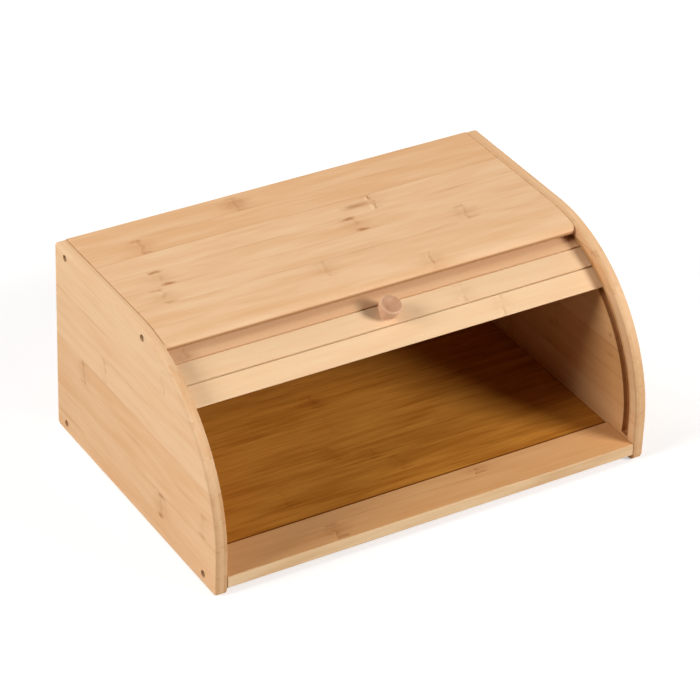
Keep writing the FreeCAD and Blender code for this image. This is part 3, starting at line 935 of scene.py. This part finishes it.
# painted shade in the open seams between slats
SEAM_SHADE_TINT = (0.58, 0.78, 0.95)
slat_knuckles = [
    (98 * MM, TRACK_OUTER * math.radians(56.5), 9.5 * MM, 0.35, 0.10, 0.15),
    (72 * MM, TRACK_OUTER * math.radians(65.5), 9.5 * MM, 0.35, 0.10, 0.18),
    (-170 * MM, TRACK_OUTER * math.radians(74.5), 9.5 * MM, 0.35, 0.20, 0.15),
]
# the seed and the spread between pale and deep make the third slat, under the nose, the darkest: partly
# its own tone, partly painted shade
slat_bamboo = bamboo(
    "bamboo slats", 0, 1, 2, TRACK_OUTER * DOOR_EDGE, pale=SLAT_PALE, deep=SLAT_DEEP,
    strip=TRACK_OUTER * SLAT_PITCH, knuckles=slat_knuckles,
    streaky=0.6, cloudy=0.6, uneven=0.56, joints=0.0, seam_shade=SEAM_SHADE_TINT,
    seed=59.0, wound=True)
slat_values = {
    "Count": SLATS, "Pitch": SLAT_PITCH, "Door edge": DOOR_EDGE, "Face radius": SLAT_FACE,
    "Back radius": SLAT_BACK, "Face width": SLAT_FACE_WIDE, "Back width": SLAT_BACK_WIDE,
    "Length": SLAT_LONG, "Ease": SLAT_EASE, "Leading ease": LEADING_EASE, "Undercut": UNDERCUT,
    "Centre": TRACK_CENTRE, "Material": slat_bamboo,
}
slats = grown("tambour_slats", slat_tree(slat_values), slat_values)

KNOB_SPOT = DOOR_EDGE + SLAT_PITCH * 1.5
KNOB_SCREW_HEAD = 3.6 * MM
KNOB_SCREW_SHANK = 1.6 * MM
KNOB_SCREW_SINK = 2.2 * MM
KNOB_SCREW_REACH = 9 * MM
HOLE_PLAY = 0.05 * MM
on_knob_slat = Matrix.Translation(TRACK_CENTRE) @ Matrix.Rotation(math.pi / 2 - KNOB_SPOT, 4, "X")


def circle(radius, height, count):
    """Points round the Z axis at that height."""
    turns = [2 * math.pi * k / count for k in range(count)]
    return [(radius * math.cos(turn), radius * math.sin(turn), height) for turn in turns]


def turn_round(name, profile, sides=64):
    """A closed turned shape from (radius, height) points, from the axis back to the axis."""
    shell, rows = skin([circle(*spot, sides) for spot in profile[1:-1]])
    for row, (_, height) in ((rows[0], profile[0]), (rows[-1], profile[-1])):
        tip = shell.verts.new((0, 0, height))
        for k in range(sides):
            shell.faces.new((tip, row[k], row[(k + 1) % sides]))
    return as_object(name, shell)


def drill(radius, low, high):
    """The space of a straight hole along Z."""
    return turn_round("drill", [(0, low), (radius, low), (radius, high), (0, high)])


def screw_profile(play):
    """The countersunk knob screw, or with some play the hole for it."""
    shank = KNOB_SCREW_SHANK + play
    tip = SLAT_FACE + KNOB_SCREW_REACH + play
    head = SLAT_BACK - play
    neck = head + KNOB_SCREW_SINK + play
    return [(0, head), (KNOB_SCREW_HEAD + play, head), (shank, neck), (shank, tip), (0, tip)]


screw_space = turn_round("screw space", screw_profile(HOLE_PLAY))
screw_space.data.transform(on_knob_slat)
carve(slats, [screw_space])
slat_names = ["slat_%02d" % (k + 1) for k in range(SLATS)]
dress(slats, slat_bamboo, "roll_door", "slat_bamboo", *slat_names)


# ------------------------------------------------------------------ canvas backing
# One strip of unbleached plain-woven canvas glued over the backs of all the slats. It
# bends at each seam, which lets the door roll, and is cut away round the knob's screw.

CANVAS_FACE = 124.45 * MM
CANVAS_THICK = 0.6 * MM
CANVAS_WIDE = 364 * MM
CANVAS_SHORT = math.radians(0.4)
CANVAS_LEAD = math.radians(1.75)   # it stops short of the first slat's undercut
CANVAS_HOLE = 4.4 * MM
CANVAS_STEPS = 6               # divisions across one slat
CANVAS_COLUMNS = 40
THREAD = 0.62 * MM
CANVAS_PALE = (0.470, 0.409, 0.304)
CANVAS_DEEP = (0.331, 0.270, 0.183)

canvas_cloth, tree, spot = new_material("unbleached canvas")
place = split(spot)
run = (place[2] - TRACK_CENTRE.z).by("ARCTAN2", TRACK_CENTRE.y - place[1]) * CANVAS_FACE
uneven = noise(point(tree, place[0], run), 260.0, 2.0)
warp = uneven * 0.5 + place[0] / THREAD
weft = uneven * 0.5 + run / THREAD
over = ((warp.by("FLOOR") + weft.by("FLOOR")) * 0.5).by("FRACT") * 2.0
warp_top = (warp.by("FRACT") * math.pi).by("SINE") * (over * 0.55 + 0.45)
weft_top = (weft.by("FRACT") * math.pi).by("SINE") * (over * -0.55 + 1.0)
height = warp_top.by("MAXIMUM", weft_top)
# painted shade: the weave's hollows darker and the threads' tops paler, over patches of the cloth's own
# tone
colour = blend(uneven * 0.5 + height * 0.6, CANVAS_DEEP, CANVAS_PALE)
bump = get(tree, "ShaderNodeBump", {"Strength": 0.7, "Distance": 0.25 * MM, "Height": height})
surface(get(tree, "ShaderNodeBsdfPrincipled", {
    "Base Color": colour, "Roughness": 0.92, "Normal": bump, "Sheen Weight": 0.15}))

rows = []
for k in range(SLATS * CANVAS_STEPS + 1):
    bend = SLAT_PITCH * ((k % CANVAS_STEPS) / CANVAS_STEPS - 0.5)
    turn = DOOR_EDGE + SLAT_PITCH * k / CANVAS_STEPS
    turn = min(max(turn, DOOR_EDGE + CANVAS_LEAD), DOOR_EDGE + SLATS * SLAT_PITCH - CANVAS_SHORT)
    columns = [CANVAS_WIDE * (c / CANVAS_COLUMNS - 0.5) for c in range(CANVAS_COLUMNS + 1)]
    rows.append([(x, *on_track(CANVAS_FACE / math.cos(bend), turn)) for x in columns])
canvas = as_object("canvas_strip", skin(rows, closed=False)[0])
thickness = canvas.modifiers.new("thickness", "SOLIDIFY")
thickness.thickness = CANVAS_THICK
outward = canvas.data.polygons[0].normal.dot(canvas.data.polygons[0].center - TRACK_CENTRE)
thickness.offset = -1.0 if outward > 0 else 1.0
settle(canvas)
hole_space = drill(CANVAS_HOLE, SLAT_BACK - 4 * MM, SLAT_BACK + 2 * MM)
hole_space.data.transform(on_knob_slat)
carve(canvas, [hole_space])
dress(canvas, canvas_cloth, "roll_door", "canvas", "canvas_backing")


# ------------------------------------------------------------------ knob and its screw
# A small turned hardwood knob on the second slat: a foot, a waist and a drum head with a
# dished face and a soft rim. A countersunk screw holds it from inside the door.

KNOB_FOOT = 6.0 * MM
KNOB_WAIST = 4.6 * MM
KNOB_WAIST_UP = 3.2 * MM
KNOB_HEAD = 9.3 * MM
KNOB_HEAD_FROM = 6.4 * MM
KNOB_TALL = 14.8 * MM
KNOB_RIM = 1.6 * MM
KNOB_DISH = 6.9 * MM
KNOB_DISH_DEEP = 2.2 * MM
KNOB_PALE = (0.713, 0.435, 0.270)
KNOB_DEEP = (0.574, 0.313, 0.178)
KNOB_FACE_TINT = (0.80, 0.72, 0.66)
KNOB_GRAIN = (220.0, 900.0, 900.0)      # how fine its grain is along each axis


def through(a, b, c, steps):
    """Points along the circle through three (radius, height) points, from the first to the last."""
    (ax, ay), (bx, by), (cx, cy) = a, b, c
    d = 2 * (ax * (by - cy) + bx * (cy - ay) + cx * (ay - by))
    sa, sb, sc = ax * ax + ay * ay, bx * bx + by * by, cx * cx + cy * cy
    ox = (sa * (by - cy) + sb * (cy - ay) + sc * (ay - by)) / d
    oy = (sa * (cx - bx) + sb * (ax - cx) + sc * (bx - ax)) / d
    radius = math.hypot(ax - ox, ay - oy)
    start = math.atan2(ay - oy, ax - ox)
    swing = math.remainder(math.atan2(cy - oy, cx - ox) - start, 2 * math.pi)
    halfway = math.remainder(math.atan2(by - oy, bx - ox) - start, 2 * math.pi)
    if halfway * swing < 0:
        swing -= math.copysign(2 * math.pi, swing)
    turns = [start + swing * k / steps for k in range(steps + 1)]
    return [(ox + radius * math.cos(t), oy + radius * math.sin(t)) for t in turns]


def knob_profile():
    """Half section of the knob, from the middle of its foot to the middle of its dish."""
    base = SLAT_FACE
    shoulder = KNOB_HEAD - KNOB_RIM
    sag = KNOB_RIM * (1 - math.sqrt(0.5))
    low = base + KNOB_HEAD_FROM
    top = base + KNOB_TALL
    points = [(0, base)]
    points += through((KNOB_FOOT, base), (KNOB_WAIST, base + KNOB_WAIST_UP), (shoulder, low), 14)
    points += through((shoulder, low), (KNOB_HEAD - sag, low + sag), (KNOB_HEAD, low + KNOB_RIM), 6)[1:]
    points += through((KNOB_HEAD, top - KNOB_RIM), (KNOB_HEAD - sag, top - sag), (shoulder, top), 6)
    dish_radius = (KNOB_DISH ** 2 + KNOB_DISH_DEEP ** 2) / (2 * KNOB_DISH_DEEP)
    dish_centre = top - KNOB_DISH_DEEP + dish_radius
    for k in range(11):
        radius = KNOB_DISH * (1 - k / 11)
        points.append((radius, dish_centre - math.sqrt(dish_radius ** 2 - radius ** 2)))
    points.append((0, top - KNOB_DISH_DEEP))
    return points


knob_wood, tree, spot = new_material("turned knob wood")
on_knob = get(tree, "ShaderNodeMapping", {
    "Vector": spot, "Location": on_knob_slat.inverted().translation,
    "Rotation": on_knob_slat.inverted().to_euler()})
place = split(on_knob)
ray = noise(point(tree, *[value * fine for value, fine in zip(place, KNOB_GRAIN)]), 1.0, 3.0)
ring_wave = noise(on_knob, 160.0, 2.0)
shade = (ray - 0.5) * 1.1 + 0.5
shade = ((ring_wave - 0.5) * 0.9).by("ADD", shade, clamp=True)
colour = blend(shade, KNOB_PALE, KNOB_DEEP)
# the dished face and the top of the rim are darker
on_face = fade(span(place[0], place[1]), KNOB_HEAD - 1.7 * MM, KNOB_HEAD - 0.6 * MM)
on_face = on_face * fade(SLAT_FACE + KNOB_TALL - place[2], 2.4 * MM, 3.0 * MM)
colour = tinted(colour, on_face, KNOB_FACE_TINT)
bump = get(tree, "ShaderNodeBump", {"Strength": 0.2, "Distance": 0.1 * MM, "Height": ray})
surface(get(tree, "ShaderNodeBsdfPrincipled", {
    "Base Color": colour, "Roughness": ray * 0.16 + 0.46, "Normal": bump,
    "Specular IOR Level": 0.3, "Coat Weight": 0.06, "Coat Roughness": 0.4}))

knob = turn_round("knob_turned", knob_profile(), 96)
bore_end = SLAT_FACE + KNOB_SCREW_REACH + MM
carve(knob, [drill(KNOB_SCREW_SHANK + HOLE_PLAY, SLAT_FACE - MM, bore_end)])
knob.data.transform(on_knob_slat)
dress(knob, knob_wood, "roll_door", "knob_wood", "door_knob")


def metal(name, colour, roughness):
    """Plated or bronzed steel, a little tarnished."""
    made, tree, spot = new_material(name)
    tarnish = noise(spot, 900.0, 3.0)
    darker = tuple(0.55 * c for c in colour)
    surface(get(tree, "ShaderNodeBsdfPrincipled", {
        "Base Color": blend(tarnish, colour, darker), "Metallic": 1.0,
        "Roughness": tarnish * 0.3 + (roughness - 0.15)}))
    return made


CROSS_LONG = 4.0 * MM
CROSS_WIDE = 0.8 * MM
CROSS_DEEP = 1.0 * MM
ZINC = (0.62, 0.60, 0.56)
knob_screw = turn_round("knob_screw_countersunk", screw_profile(0.0), 48)
arms = [
    block("arm", (-w / 2, -h / 2, SLAT_BACK - MM), (w / 2, h / 2, SLAT_BACK + CROSS_DEEP))
    for w, h in ((CROSS_LONG, CROSS_WIDE), (CROSS_WIDE, CROSS_LONG))
]
carve(knob_screw, arms)
knob_screw.data.transform(on_knob_slat)
zinc = metal("zinc plate", ZINC, 0.35)
dress(knob_screw, zinc, "roll_door", "knob_screw_steel", "knob_screw")


# ------------------------------------------------------------------ case screws
# Bronzed socket screws sunk in the side panels: on each side one into the end of each
# rail and two into the end of the top board. Their threads bite into the boards.

SCREW_HEAD = 2.9 * MM
SCREW_HEAD_TALL = 2.4 * MM
SCREW_HEAD_ROUND = 0.5 * MM
ROUND_SAG = 0.29               # how far the middle of a round lies in from its corner
SCREW_CREST = 1.7 * MM
SCREW_ROOT = 1.25 * MM
SCREW_LONG = 32 * MM
SCREW_POINT = 3 * MM
SCREW_BLUNT = 0.12             # what is left of its thickness at the very point
SCREW_STEPS = 110
SCREW_SIDES = 20
THREAD_PITCH = 1.6 * MM
SOCKET_ACROSS = 2.5 * MM
SOCKET_DEEP = 1.4 * MM
BRONZE = (0.080, 0.048, 0.026)


def threaded_screw():
    """One screw along Z, the underside of its head at zero and its point upwards."""
    rings = []
    for k in range(SCREW_STEPS + 1):
        height = SCREW_LONG * k / SCREW_STEPS
        taper = min(1.0, (SCREW_LONG - height) / SCREW_POINT + SCREW_BLUNT)
        ring = []
        for j in range(SCREW_SIDES):
            turn = 2 * math.pi * j / SCREW_SIDES
            phase = (height / THREAD_PITCH - j / SCREW_SIDES) % 1.0
            crest = max(0.0, 1 - abs(phase - 0.5) * 4)
            radius = (SCREW_ROOT + (SCREW_CREST - SCREW_ROOT) * crest) * taper
            ring.append((radius * math.cos(turn), radius * math.sin(turn), height))
        rings.append(ring)
    shank = as_object("shank", loft(rings))
    top = -SCREW_HEAD_TALL
    sag = SCREW_HEAD_ROUND * ROUND_SAG
    rim = through(
        (SCREW_HEAD, top + SCREW_HEAD_ROUND), (SCREW_HEAD - sag, top + sag),
        (SCREW_HEAD - SCREW_HEAD_ROUND, top), 4)
    head = turn_round("head", [(0, 0), (SCREW_HEAD, 0), *rim, (0, top)], 48)
    corner = SOCKET_ACROSS / math.sqrt(3)
    heights = (top - MM, top + SOCKET_DEEP)
    socket = as_object("socket", loft([circle(corner, height, 6) for height in heights]))
    carve(head, [socket])
    carve(head, [shank], "UNION")
    return head


def screw_tree(values):
    """A screw at every given point, turned at random and driven towards the middle of the box."""
    tree, given = tree_for("case screws", values)
    screw = get(tree, "GeometryNodeObjectInfo", {"Object": given["Screw"]}, "Geometry")
    side = split(get(tree, "GeometryNodeInputPosition"))[0]
    chance = get(tree, "FunctionNodeRandomValue", {3: given["Turn"], "Seed": given["Seed"]}, 1)
    about_own = get(tree, "FunctionNodeAxisAngleToRotation", {"Axis": (0, 0, 1), "Angle": chance})
    inward = get(tree, "FunctionNodeAxisAngleToRotation", {
        "Axis": (0, 1, 0), "Angle": side.by("SIGN") * (-math.pi / 2)})
    facing = get(tree, "FunctionNodeRotateRotation", {
        0: about_own, 1: inward}, rotation_space="GLOBAL")
    placed = get(tree, "GeometryNodeInstanceOnPoints", {
        "Points": given["Geometry"], "Instance": screw, "Rotation": facing})
    made_real(placed, given["Material"])
    return tree


seat_x = OUTER_X - SCREW_HOLE_DEEP
screw_spots = bpy.data.meshes.new("screw spots")
screw_spots.from_pydata([(side * seat_x, y, z) for side in (-1, 1) for y, z in SCREW_SPOTS], [], [])
one_screw = threaded_screw()
bronze = metal("bronzed steel", BRONZE, 0.48)
screw_values = {"Screw": one_screw, "Turn": math.pi / 3, "Seed": 4, "Material": bronze}
screws = grown("case_screws", screw_tree(screw_values), screw_values, screw_spots)
bpy.data.objects.remove(one_screw)
dress(screws, bronze, "case", "screw_steel", "left_case_screws", "right_case_screws")
